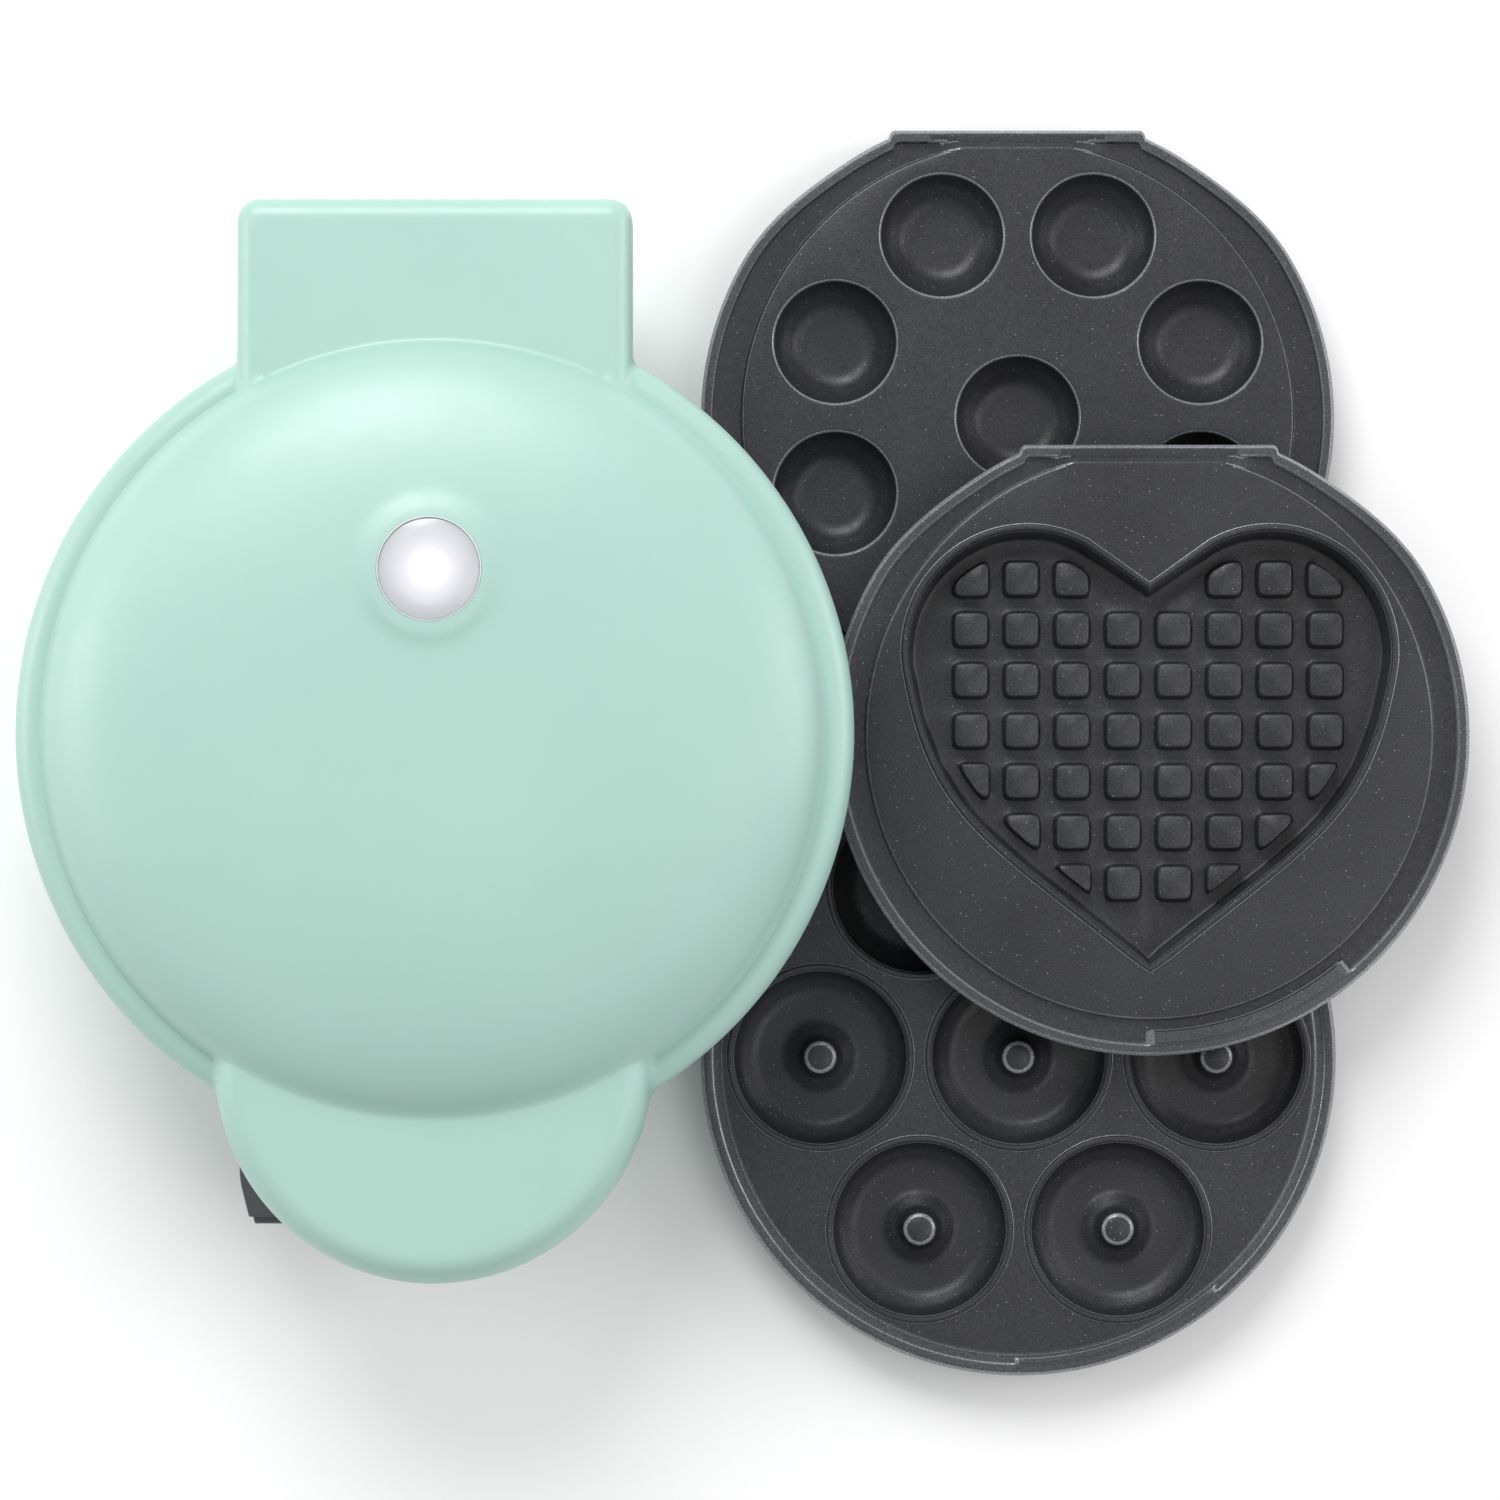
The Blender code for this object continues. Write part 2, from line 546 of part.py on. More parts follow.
def main():
    clear_scene()
    machine = empty_at("machine", *MACHINE)
    build_base_shell(machine)
    build_lid_shell(machine)
    build_liners(machine)
    build_pans(machine)
    build_plates(machine)
    build_hinge(machine)
    build_latch(machine)
    build_releases(machine)
    build_electrics(machine)
    build_lamp(machine)
    build_feet_and_screws(machine)
    build_cord_gland(machine)


main()
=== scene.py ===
"""Looks for the three-in-one donut maker: smooth shells, coated plates, lamp, latch and studio light.

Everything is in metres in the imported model's own frame; helpers take millimetres from the machine's middle.
"""
import json
import math

import bmesh
import bpy
import numpy as np
from mathutils import Matrix, Vector


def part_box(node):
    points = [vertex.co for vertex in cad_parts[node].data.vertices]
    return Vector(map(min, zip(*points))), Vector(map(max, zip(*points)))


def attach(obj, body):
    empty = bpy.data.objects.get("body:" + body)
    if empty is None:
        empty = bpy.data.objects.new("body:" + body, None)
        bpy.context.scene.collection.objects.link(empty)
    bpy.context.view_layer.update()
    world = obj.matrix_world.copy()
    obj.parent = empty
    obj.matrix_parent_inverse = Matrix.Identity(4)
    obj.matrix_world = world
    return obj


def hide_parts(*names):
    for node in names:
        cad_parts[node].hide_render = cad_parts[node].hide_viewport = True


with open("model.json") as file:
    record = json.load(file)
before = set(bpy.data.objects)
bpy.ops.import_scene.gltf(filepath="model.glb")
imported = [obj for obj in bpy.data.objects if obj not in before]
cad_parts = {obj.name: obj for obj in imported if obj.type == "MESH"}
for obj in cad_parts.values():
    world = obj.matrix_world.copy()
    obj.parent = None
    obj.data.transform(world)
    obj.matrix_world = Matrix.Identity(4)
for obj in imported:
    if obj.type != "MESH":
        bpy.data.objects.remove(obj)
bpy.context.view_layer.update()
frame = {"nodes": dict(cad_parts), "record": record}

MM = 0.001

# Places read from the frame: the lens gives the machine's middle, the plates give their own
LAMP_Y, LAMP_R = 39.4, 12.85
PLATE_R, PLATE_FLAT_Y, PLATE_H = 81.8, 74.4, 14.0
CAVITY_RING_R = 51.0


def middle(node):
    """Middle of a node's box."""
    low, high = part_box(node)
    return (low + high) / 2


MACHINE_X = middle("lamp_lens").x / MM
MACHINE_Y = middle("lamp_lens").y / MM - LAMP_Y
LOWER_DECK_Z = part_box("lower_donut_plate")[1].z / MM
UPPER_DECK_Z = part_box("upper_donut_plate")[0].z / MM

# Outline of the lid and base, in plan
DISC_R = 105.0
LOBE_R, LOBE_Y = 54.5, -83.0
BLOCK_HALF, BLOCK_Y, BLOCK_CORNER = 49.4, 133.5, 5.5
CORNER_BLEND = 2.5       # where the disc, the handle and the block run into each other
LINER_REAR_Y = 118.0     # where both liners end, ahead of the hinge
WELL_R = 83.0            # inside of the liners, round the fitted plates
WALL = 2.5               # thickness of both shells
CATCH = (2.0, -118.0)
LATCH_PIVOT = (-20.0, -114.0)
RELEASE_ANGLE = math.radians(-50.0)
HINGE_Y, HINGE_Z = 127.0, 46.0
GLAND_Z = 15.5           # height of the mains lead's outlet
DOME_R = 98.0            # foot of the lid's dome
PLATE_SIDES, SMALL_SIDES = 64, 48       # sides of the plates' hollows and of small turned pieces


# ---------------------------------------------------------------- mesh helpers

def new_piece(name, verts, faces, material, body, replaced=(), offset=(0.0, 0.0, 0.0), sharp=34.0):
    """Piece from points in millimetres; offset is where their zero lies in the frame, in millimetres."""
    mesh = bpy.data.meshes.new(name)
    points = (np.asarray(verts, float) + np.asarray(offset, float)) * MM
    mesh.from_pydata(points.tolist(), [], faces)
    bm = bmesh.new()
    bm.from_mesh(mesh)
    bmesh.ops.recalc_face_normals(bm, faces=bm.faces)
    bm.to_mesh(mesh)
    bm.free()
    mesh.shade_smooth()
    mesh.set_sharp_from_angle(angle=math.radians(sharp))
    mesh.materials.append(material)
    obj = bpy.data.objects.new(name, mesh)
    bpy.context.collection.objects.link(obj)
    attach(obj, body)
    if replaced:
        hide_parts(*replaced)
    return obj


def machine_offset():
    """Where the machine's middle lies in the frame, in millimetres."""
    return (MACHINE_X, MACHINE_Y, 0.0)


def skin(rings, cap_start=False, cap_end=False, joined=False):
    """Faces between rings of equal length, given as arrays of points."""
    count = len(rings[0])
    verts = np.concatenate([np.asarray(r, float) for r in rings])
    faces = []
    pairs = [(k, k + 1) for k in range(len(rings) - 1)]
    if joined:
        pairs.append((len(rings) - 1, 0))
    for a, b in pairs:
        for i in range(count):
            j = (i + 1) % count
            faces.append((a * count + i, a * count + j, b * count + j, b * count + i))
    if cap_start:
        faces.append(tuple(range(count)))
    if cap_end:
        faces.append(tuple((len(rings) - 1) * count + i for i in range(count)))
    return verts, faces


def turned_rings(profile, segments, centre=(0.0, 0.0)):
    """One ring of points for each radius and height of a profile."""
    angles = np.arange(segments) * math.tau / segments
    rings = []
    for radius, z in profile:
        rings.append(np.stack([centre[0] + radius * np.cos(angles), centre[1] + radius * np.sin(angles),
                               np.full(segments, float(z))], 1))
    return rings


def fillet(corner, before, after, radius, steps=5):
    """Points of a round between two straight runs that meet at corner."""
    corner, before, after = (Vector(p) for p in (corner, before, after))
    first, last = (before - corner).normalized(), (after - corner).normalized()
    half = first.angle(last) / 2
    reach = min(radius / math.tan(half), 0.49 * (before - corner).length, 0.49 * (after - corner).length)
    radius = reach * math.tan(half)
    centre = corner + (first + last).normalized() * radius / math.sin(half)
    start, end = corner + first * reach - centre, corner + last * reach - centre
    sweep = start.angle(end)
    points = []
    for i in range(steps + 1):
        share = i / steps
        if sweep < 1e-4:
            points.append(tuple(centre + start))
            continue
        mix = start * math.sin((1 - share) * sweep) + end * math.sin(share * sweep)
        points.append(tuple(centre + mix / math.sin(sweep)))
    return points


def rounded(points, radii, steps=5, closed=False):
    """Polyline or polygon with rounded corners; a zero radius keeps a corner sharp."""
    result = []
    count = len(points)
    for i, (point, radius) in enumerate(zip(points, radii)):
        ends = (i == 0 or i == count - 1) and not closed
        if ends or radius <= 0.0:
            result.append(tuple(point))
            continue
        result += fillet(point, points[i - 1], points[(i + 1) % count], radius, steps)
    return result


# ---------------------------------------------------------------- body outline

def smooth_max(a, b, k):
    """The larger value, with a round of about k where the two cross."""
    h = np.clip(0.5 + 0.5 * (a - b) / k, 0.0, 1.0)
    return b * (1 - h) + a * h + k * h * (1 - h)


def smooth_min(a, b, k):
    """The smaller value, rounded in the same way."""
    return -smooth_max(-a, -b, k)


def disc_depth(x, y):
    """Distance inside the round body."""
    return DISC_R - np.hypot(x, y)


def lobe_depth(x, y):
    """Distance inside the round front handle."""
    return LOBE_R - np.hypot(x, y - LOBE_Y)


def block_depth(x, y, rear_y=BLOCK_Y):
    """Distance inside a rounded rectangle that runs from the middle to the rear face."""
    half_y = rear_y / 2
    qx = np.abs(x) - (BLOCK_HALF - BLOCK_CORNER)
    qy = np.abs(y - half_y) - (half_y - BLOCK_CORNER)
    outside = np.hypot(np.maximum(qx, 0.0), np.maximum(qy, 0.0))
    return BLOCK_CORNER - outside - np.minimum(np.maximum(qx, qy), 0.0)


def body_depth(x, y, rear_y=BLOCK_Y):
    """Distance inside the whole outline."""
    joined = smooth_max(disc_depth(x, y), lobe_depth(x, y), CORNER_BLEND)
    return smooth_max(joined, block_depth(x, y, rear_y), CORNER_BLEND)


def outline_angles(count=640):
    """Steps round the middle, closer together along the block's and the lobe's sides."""
    fine = np.linspace(0.0, math.tau, 7200, endpoint=False)
    radius = outline_radius(fine, 0.0)
    x, y = radius * np.cos(fine), radius * np.sin(fine)
    step = np.hypot(np.roll(x, -1) - x, np.roll(y, -1) - y)
    travelled = np.concatenate([[0.0], np.cumsum(step)])
    wanted = np.linspace(0.0, travelled[-1], count, endpoint=False)
    return np.interp(wanted, travelled, np.append(fine, math.tau))


def outline_radius(angles, inset, rear_y=BLOCK_Y):
    """Radius, along each angle, where the body is inset deep; found by halving."""
    low, high = np.full(len(angles), 60.0), np.full(len(angles), 160.0)
    for _ in range(34):
        mid = (low + high) / 2
        inside = body_depth(mid * np.cos(angles), mid * np.sin(angles), rear_y) > inset
        low, high = np.where(inside, mid, low), np.where(inside, high, mid)
    return (low + high) / 2


ANGLES = outline_angles()


def polar(radius, z):
    """Ring of points at ANGLES from radius and height, each a number or an array."""
    radius = np.broadcast_to(radius, ANGLES.shape)
    z = np.broadcast_to(z, ANGLES.shape)
    return np.stack([radius * np.cos(ANGLES), radius * np.sin(ANGLES), z], 1)


def following(radius, surface, above=0.0):
    """Ring on a surface given as a height over the plan, or a little above it."""
    return polar(radius, surface(radius * np.cos(ANGLES), radius * np.sin(ANGLES)) + above)


def inward(outer, stop, count):
    """Radii in even steps from an outer ring to a circle."""
    return [outer + (stop - outer) * share for share in np.linspace(0.0, 1.0, count)]


def carve(obj, cutters):
    """Cuts solids, given as points and faces in millimetres from the machine's middle, out of a piece."""
    tools = []
    for verts, faces in cutters:
        mesh = bpy.data.meshes.new("cutter")
        mesh.from_pydata(((np.asarray(verts, float) + machine_offset()) * MM).tolist(), [], faces)
        bm = bmesh.new()
        bm.from_mesh(mesh)
        bmesh.ops.recalc_face_normals(bm, faces=bm.faces)
        bm.to_mesh(mesh)
        bm.free()
        tool = bpy.data.objects.new("cutter", mesh)
        bpy.context.collection.objects.link(tool)
        modifier = obj.modifiers.new("cut", "BOOLEAN")
        modifier.object = tool
        modifier.operation = "DIFFERENCE"
        tools.append(tool)
    result = bpy.data.meshes.new_from_object(obj.evaluated_get(bpy.context.evaluated_depsgraph_get()))
    obj.modifiers.clear()
    obj.data = result
    for tool in tools:
        bpy.data.objects.remove(tool, do_unlink=True)


def plug(x, y, radius, z0, z1, segments=48):
    """Upright cylinder to cut a hole with."""
    rings = turned_rings([(radius, z0), (radius, z1)], segments, (x, y))
    return skin(rings, cap_start=True, cap_end=True)


def circle_points(middle_u, middle_v, radius):
    """Circle of 32 points in any plane, as pairs."""
    return [(middle_u + radius * math.cos(a), middle_v + radius * math.sin(a))
            for a in np.linspace(0, math.tau, 33)[:-1]]


def release_pocket():
    """Box along the spoke on which both plate releases lie."""
    near, far, half_width = 79.0, 98.2, 6.5
    spoke = Vector((math.cos(RELEASE_ANGLE), math.sin(RELEASE_ANGLE)))
    side = Vector((-spoke.y, spoke.x)) * half_width
    plan = [spoke * near - side, spoke * far - side, spoke * far + side, spoke * near + side]
    plan = rounded([tuple(p) for p in plan], [0.0, 1.2, 1.2, 0.0], 4, closed=True)
    return skin([level(plan, 40.0), level(plan, 52.0)], cap_start=True, cap_end=True)


# ---------------------------------------------------------------- lid and base surfaces

def shoulder(depth, wall_z, top_z, width):
    """Height of an edge that rises from the wall and rounds over onto a flat top."""
    t = np.clip(depth / width, 0.0, 1.0)
    rise = np.sqrt(np.clip(1 - (1 - t) ** 2.2, 0.0, 1.0))
    return wall_z + (top_z - wall_z) * rise + np.minimum(depth, 0.0) * 9.0


def lid_height(x, y):
    """Top of the lid: rim ledge, pillow-shaped dome, flat-topped handle and block, and the lamp's collar."""
    r = np.hypot(x, y)
    ledge = shoulder(disc_depth(x, y), 57.5, 63.6, 5.5)
    handle = shoulder(lobe_depth(x, y), 62.0, 70.3, 7.5)
    block = shoulder(block_depth(x, y), 60.5, 66.4, 5.0)
    wings = smooth_max(handle, block, 1.0)
    inside = np.clip(1 - (r / DOME_R) ** 3.3, 0.0, 1.0)
    dome = 60.5 + 26.5 * inside ** 0.42 - np.maximum(r - DOME_R, 0.0) * 3.0
    body = smooth_max(smooth_max(ledge, wings, 1.6), dome, 2.6)
    lamp = np.hypot(x, y - LAMP_Y)
    collar = 1.3 / (1 + np.exp((lamp - 17.0) / 1.0))
    return np.minimum(body + collar, 87.8)


def build_lid_shell(material):
    """Lid: up its wall, over its top on rings that turn into circles, and back along its inner side."""
    rim_z = 47.5
    edge = outline_radius(ANGLES, 0.0)
    top_rings = []
    for inset in (0.0, 0.12, 0.3, 0.6, 1.0, 1.5, 2.1, 2.8, 3.6, 4.5, 5.5, 6.6, 7.8):
        top_rings.append(outline_radius(ANGLES, inset))
    deep = top_rings[-1]
    circles = np.concatenate([np.arange(132.0, 102.0, -2.0), np.arange(102.0, 92.0, -0.55),
                              np.arange(92.0, 79.0, -1.0)])
    top_rings += [np.minimum(circle, deep - 0.1 * (k + 1)) for k, circle in enumerate(circles)]
    top_rings += [np.full(len(ANGLES), radius) for radius in np.linspace(79.0, 1.0, 70)]
    wall_top = lid_height(edge * np.cos(ANGLES), edge * np.sin(ANGLES))
    rings = [polar(edge - WALL, rim_z + 0.3), polar(edge - WALL + 0.4, rim_z),
             polar(edge - 0.5, rim_z), polar(edge - 0.1, rim_z + 0.25)]
    for share in (0.0, 0.34, 0.67):
        rings.append(polar(edge, (rim_z + 0.6) + (wall_top - rim_z - 0.6) * share))
    rings += [following(radius, lid_height) for radius in top_rings]
    under = [following(radius, lid_height, -WALL - 0.6) for radius in inward(deep, 80.0, 15)]
    under += [following(radius, lid_height, -WALL - 0.6) for radius in (60.0, 30.0, 2.0)]
    inside_wall = polar(edge - WALL, np.minimum(wall_top - 1.5, 61.0))
    rings = list(reversed(under)) + [inside_wall] + rings
    verts, faces = skin(rings, cap_start=True, cap_end=True)
    lid = new_piece("lid_casing", verts, faces, material, "lid", ("lid_shell",), machine_offset(), 50)
    carve(lid, [plug(0.0, LAMP_Y, LAMP_R + 0.15, 78.0, 92.0, 96)])
    return lid


def bowl_height(r):
    """Underside of the base bowl: a flat bottom, a round, a flaring side and an upright rim."""
    radii = [0.0, 70.0, 76.5, 80.0, 83.5, 86.5, 89.5, 92.5, 95.5, 98.5, 101.2, 103.2, 104.0]
    heights = [6.0, 6.0, 6.3, 7.3, 9.5, 12.6, 17.0, 22.0, 26.9, 31.0, 35.2, 39.6, 43.5]
    return np.interp(r, radii, heights)


def wing_underside(depth):
    """Underside of the handle and the block, which rounds up to their edge."""
    t = np.clip((depth - 1.0) / 6.0, 0.0, 1.0)
    return 31.0 + 9.0 * (1 - np.sqrt(np.clip(1 - (1 - t) ** 2.4, 0, 1))) + np.maximum(1.0 - depth, 0.0) * 9.0


def base_height(x, y):
    """Outer surface of the base, seen from below."""
    wings = smooth_min(wing_underside(lobe_depth(x, y)), wing_underside(block_depth(x, y)), 1.0)
    return smooth_min(bowl_height(np.hypot(x, y)), wings, 3.0)


def build_base_shell(material):
    """Base: from its bottom up the bowl's side, over the rim and down inside, lower behind recess_y."""
    recess_y = 119.5
    edge = outline_radius(ANGLES, 1.0)
    edge_y = edge * np.sin(ANGLES)
    rim_z = np.where(edge_y > recess_y, 37.5, 43.5)
    radii = [outline_radius(ANGLES, inset) for inset in (1.15, 1.5, 2.0, 2.7, 3.6, 4.8, 6.2, 7.8)]
    deep = radii[-1]
    radii += inward(deep, 82.0, 22)[1:]
    radii += [np.full(len(ANGLES), radius) for radius in np.linspace(82.0, 66.0, 14)[1:]]
    radii.append(np.full(len(ANGLES), 20.0))
    rings = [following(radius, base_height) for radius in reversed(radii)]
    wall_z = np.minimum(base_height(edge * np.cos(ANGLES), edge_y), rim_z - 1.0)
    rings += [polar(edge, wall_z), polar(edge, rim_z - 0.5), polar(edge - 0.4, rim_z)]
    rings += [polar(edge - WALL, rim_z), polar(edge - WALL, rim_z - 1.0)]
    for radius in inward(outline_radius(ANGLES, 5.0), 84.0, 16):
        ring = following(radius, base_height, WALL + 0.8)
        ring[:, 2] = np.minimum(ring[:, 2], rim_z - 2.0)
        rings.append(ring)
    rings += [following(radius, base_height, WALL) for radius in (80.0, 76.0, 66.0, 20.0)]
    verts, faces = skin(rings, cap_start=True, cap_end=True)
    base = new_piece("base_casing", verts, faces, material, "base", ("base_shell",), machine_offset(), 50)
    outlet = [[(x, y, z) for x, z in circle_points(0.0, GLAND_Z, 4.5)] for y in (74.0, 97.0)]
    carve(base, [plug(*CATCH, 7.0, 26.0, 42.0), plug(*LATCH_PIVOT, 2.3, 26.0, 42.0),
                 skin(outlet, cap_start=True, cap_end=True)])
    return base


def build_liner(name, replaced, body, lip_z, seat_z, inner_z, material):
    """Dark ring on a shell's rim, with a softened outer lip and well edge."""
    up = 1.0 if lip_z > inner_z else -1.0
    lip = outline_radius(ANGLES, 1.2, LINER_REAR_Y)
    body_edge = outline_radius(ANGLES, 4.8, LINER_REAR_Y)
    rings = [polar(body_edge, inner_z), polar(body_edge, seat_z), polar(lip, seat_z),
             polar(lip, lip_z - up * 0.3), polar(lip - 0.3, lip_z), polar(WELL_R + 0.8, lip_z),
             polar(WELL_R + 0.2, lip_z - up * 0.25), polar(WELL_R, lip_z - up * 0.8), polar(WELL_R, inner_z)]
    verts, faces = skin(rings, joined=True)
    liner = new_piece(name, verts, faces, material, body, (replaced,), machine_offset(), 40)
    slot_radius = 7.0 if body == "base" else 2.1
    carve(liner, [release_pocket(), plug(*CATCH, slot_radius, 38.0, 52.0)])
    return liner


# ---------------------------------------------------------------- cooking plates

PLATE_ANGLES = np.linspace(0.0, math.tau, 480, endpoint=False) + math.pi / 2
TAB_END, TAB_STEP = 23.6, 2.2           # the rear tab: half its sweep in degrees, and its step


def plate_radius(inset):
    """Radius at PLATE_ANGLES of a circle cut straight across the back.

    Beside the straight edge the circle steps in a little, which leaves the edge as a tab.
    """
    up = np.sin(PLATE_ANGLES)
    to_flat = np.where(up > 0.2, (PLATE_FLAT_Y - inset) / np.maximum(up, 0.2), 1e6)
    from_back = np.degrees(np.abs(np.arctan2(np.cos(PLATE_ANGLES), up)))
    beside = smooth_step((from_back - TAB_END) / 0.8) * (1 - smooth_step((from_back - 34.0) / 26.0))
    return smooth_min(PLATE_R - inset - TAB_STEP * beside, to_flat, 0.6)


def plate_ring(radius, height):
    """Ring of points at PLATE_ANGLES."""
    height = np.broadcast_to(height, PLATE_ANGLES.shape)
    return np.stack([radius * np.cos(PLATE_ANGLES), radius * np.sin(PLATE_ANGLES), height], 1)


def holed_face(bm, outer, holes):
    """Flat face between an outer loop and hole loops of bmesh vertices."""
    edges = []
    for loop in [outer] + holes:
        for i, vert in enumerate(loop):
            other = loop[(i + 1) % len(loop)]
            edges.append(bm.edges.get((vert, other)) or bm.edges.new((vert, other)))
    bmesh.ops.triangle_fill(bm, use_beauty=True, use_dissolve=False, edges=edges)


def add_rings(bm, rings, close_last=False):
    """Adds rings of points, skins them and returns the loops of vertices."""
    loops = [[bm.verts.new(tuple(p)) for p in ring] for ring in rings]
    for a, b in zip(loops, loops[1:]):
        for i in range(len(a)):
            j = (i + 1) % len(a)
            bm.faces.new((a[i], a[j], b[j], b[i]))
    if close_last:
        bm.faces.new(loops[-1])
    return loops


def offset_loop(points, amount):
    """Closed plan loop moved outwards by amount along its own normals."""
    points = np.asarray(points, float)
    along = np.roll(points, -1, 0) - np.roll(points, 1, 0)
    along /= np.linalg.norm(along, axis=1)[:, None]
    area = np.sum(points[:, 0] * np.roll(points[:, 1], -1) - np.roll(points[:, 0], -1) * points[:, 1])
    normal = np.stack([along[:, 1], -along[:, 0]], 1) * (1 if area > 0 else -1)
    return points + normal * amount


def heart_loop(steps=30):
    """Heart in plan: two round lobes that meet in a cusp, and flanks that bow down to the point."""
    lobe_x, lobe_y, lobe_r = 31.0, 21.5, 30.5
    right = [(0.0, 37.0)]
    for i in range(steps):
        angle = math.radians(118.0 - 128.0 * i / steps)
        right.append((lobe_x + lobe_r * math.cos(angle), lobe_y + lobe_r * math.sin(angle)))
    guides = [Vector(g) for g in ((61.0, 16.2), (54.5, -21.0), (40.2, -25.6), (0.0, -58.5))]
    for t in np.linspace(0.0, 1.0, 31):
        shares = ((1 - t) ** 3, 3 * t * (1 - t) ** 2, 3 * t * t * (1 - t), t ** 3)
        right.append(tuple(sum((g * float(share) for g, share in zip(guides, shares)), Vector((0.0, 0.0)))))
    return right + [(-x, y) for x, y in reversed(right[1:-1])]


def level(points, height):
    """Plan points at one height."""
    return [(p[0], p[1], height) for p in points]


def hollow_places(count, turn=0.0):
    """The plate's middle and a ring of places round it; turn is in steps of the ring."""
    turns = [math.tau * (i + turn) / count for i in range(count)]
    return [(0.0, 0.0)] + [(CAVITY_RING_R * math.cos(a), CAVITY_RING_R * math.sin(a)) for a in turns]


DONUT_PROFILE = rounded([(24.6, 0.0), (24.2, 0.0), (23.7, 0.7), (22.9, 0.7), (22.3, 0.0), (21.7, -6.0),
                         (17.0, -9.4), (9.5, -9.4), (5.2, -6.5), (4.1, -1.0), (3.2, -0.4)],
                        [0, 0.3, 0.3, 0.3, 0.5, 5.0, 5.0, 4.0, 3.0, 0.6, 0], 5)
CUP_PROFILE = rounded([(17.6, 0.0), (15.9, 0.0), (15.0, -5.5), (9.5, -10.4), (0.8, -10.4)],
                      [0, 1.0, 7.0, 6.0, 0], 6)
DONUT_BULGE = rounded([(26.4, -3.6), (24.8, -3.6), (21.4, -11.8), (1.0, -12.0)], [0, 1.0, 3.0, 0], 4)
CUP_BULGE = rounded([(19.4, -3.6), (18.0, -3.6), (14.4, -12.6), (1.0, -12.7)], [0, 1.0, 3.0, 0], 4)


def round_features(bm, profile, places, segments):
    """Turned hollows or bulges; returns each one's outer loop."""
    loops = []
    for place in places:
        loops.append(add_rings(bm, turned_rings(profile, segments, place), close_last=True)[0])
    return loops


def clipped(loop, x0, x1, y0, y1):
    """The part of a closed loop inside a rectangle."""
    points = [tuple(p) for p in loop]
    for axis, limit, keep in ((0, x0, 1), (0, x1, -1), (1, y0, 1), (1, y1, -1)):
        result = []
        for a, b in zip(points, points[1:] + points[:1]):
            inside_a, inside_b = (a[axis] - limit) * keep >= 0, (b[axis] - limit) * keep >= 0
            if inside_a != inside_b:
                t = (limit - a[axis]) / (b[axis] - a[axis])
                cross = (a[0] + (b[0] - a[0]) * t, a[1] + (b[1] - a[1]) * t)
                result.append(cross)
            if inside_b:
                result.append(b)
        points = result
        if len(points) < 3:
            return []
    return points


def loop_area(points):
    """Area inside a closed loop."""
    total = sum(a[0] * b[1] - b[0] * a[1] for a, b in zip(points, points[1:] + points[:1]))
    return abs(total) / 2


def even_loop(points, count=28):
    """The same loop with points at equal steps, starting from its first point."""
    points = np.asarray(points + points[:1], float)
    travelled = np.concatenate([[0.0], np.cumsum(np.linalg.norm(np.diff(points, axis=0), axis=1))])
    wanted = np.linspace(0.0, travelled[-1], count, endpoint=False)
    return np.stack([np.interp(wanted, travelled, points[:, k]) for k in (0, 1)], 1)


def shrunk(points, amount):
    """Loop pulled towards its own middle, so that its reach falls by amount."""
    centre = points.mean(0)
    reach = np.abs(points - centre).max()
    return centre + (points - centre) * (1 - amount / reach)


def waffle_posts(bm, floor_z, top_z, heart):
    """Tapered posts on the heart's floor, cut off by the heart's wall; returns the loops at their feet."""
    pitch, half, first_y, least_area = 13.0, 5.1, 1.3, 30.0
    loops = []
    for row in range(-4, 4):
        for column in range(-5, 5):
            x, y = (column + 0.5) * pitch, first_y + row * pitch
            plan = clipped(heart, x - half, x + half, y - half, y + half)
            if not plan or loop_area(plan) < least_area:
                continue
            plan = even_loop(plan)
            for _ in range(2):
                plan = (np.roll(plan, 1, 0) + plan * 2 + np.roll(plan, -1, 0)) / 4
            rings = [level(shrunk(plan, inset), height) for inset, height in
                     ((0.0, floor_z), (0.3, floor_z + 0.2), (0.45, floor_z + 0.8), (0.85, top_z - 0.5),
                      (1.0, top_z - 0.15), (1.25, top_z))]
            loops.append(add_rings(bm, rings, close_last=True)[0])
    return loops


def sort_faces(bm, place, deck_z, facing):
    """Gives the sloping faces at the deck's edges the second material, a painted highlight, and the outer rim
    and skirt the third, painted light on their sides.
    """
    bm.normal_update()
    for face in bm.faces:
        centre = face.calc_center_median() / MM
        reach = math.hypot(centre.x - place[0], centre.y - place[1])
        below = (deck_z - centre.z) * facing
        slope = abs(face.normal.z)
        # sloping faces just below the deck's edge: painted highlight
        if -0.2 < below < 1.25 and slope < 0.93:
            face.material_index = 1
        # outer rim and skirt: painted light on the sides facing the lamps
        elif reach > 75.8 and (below < 1.3 or slope < 0.5):
            face.material_index = 2


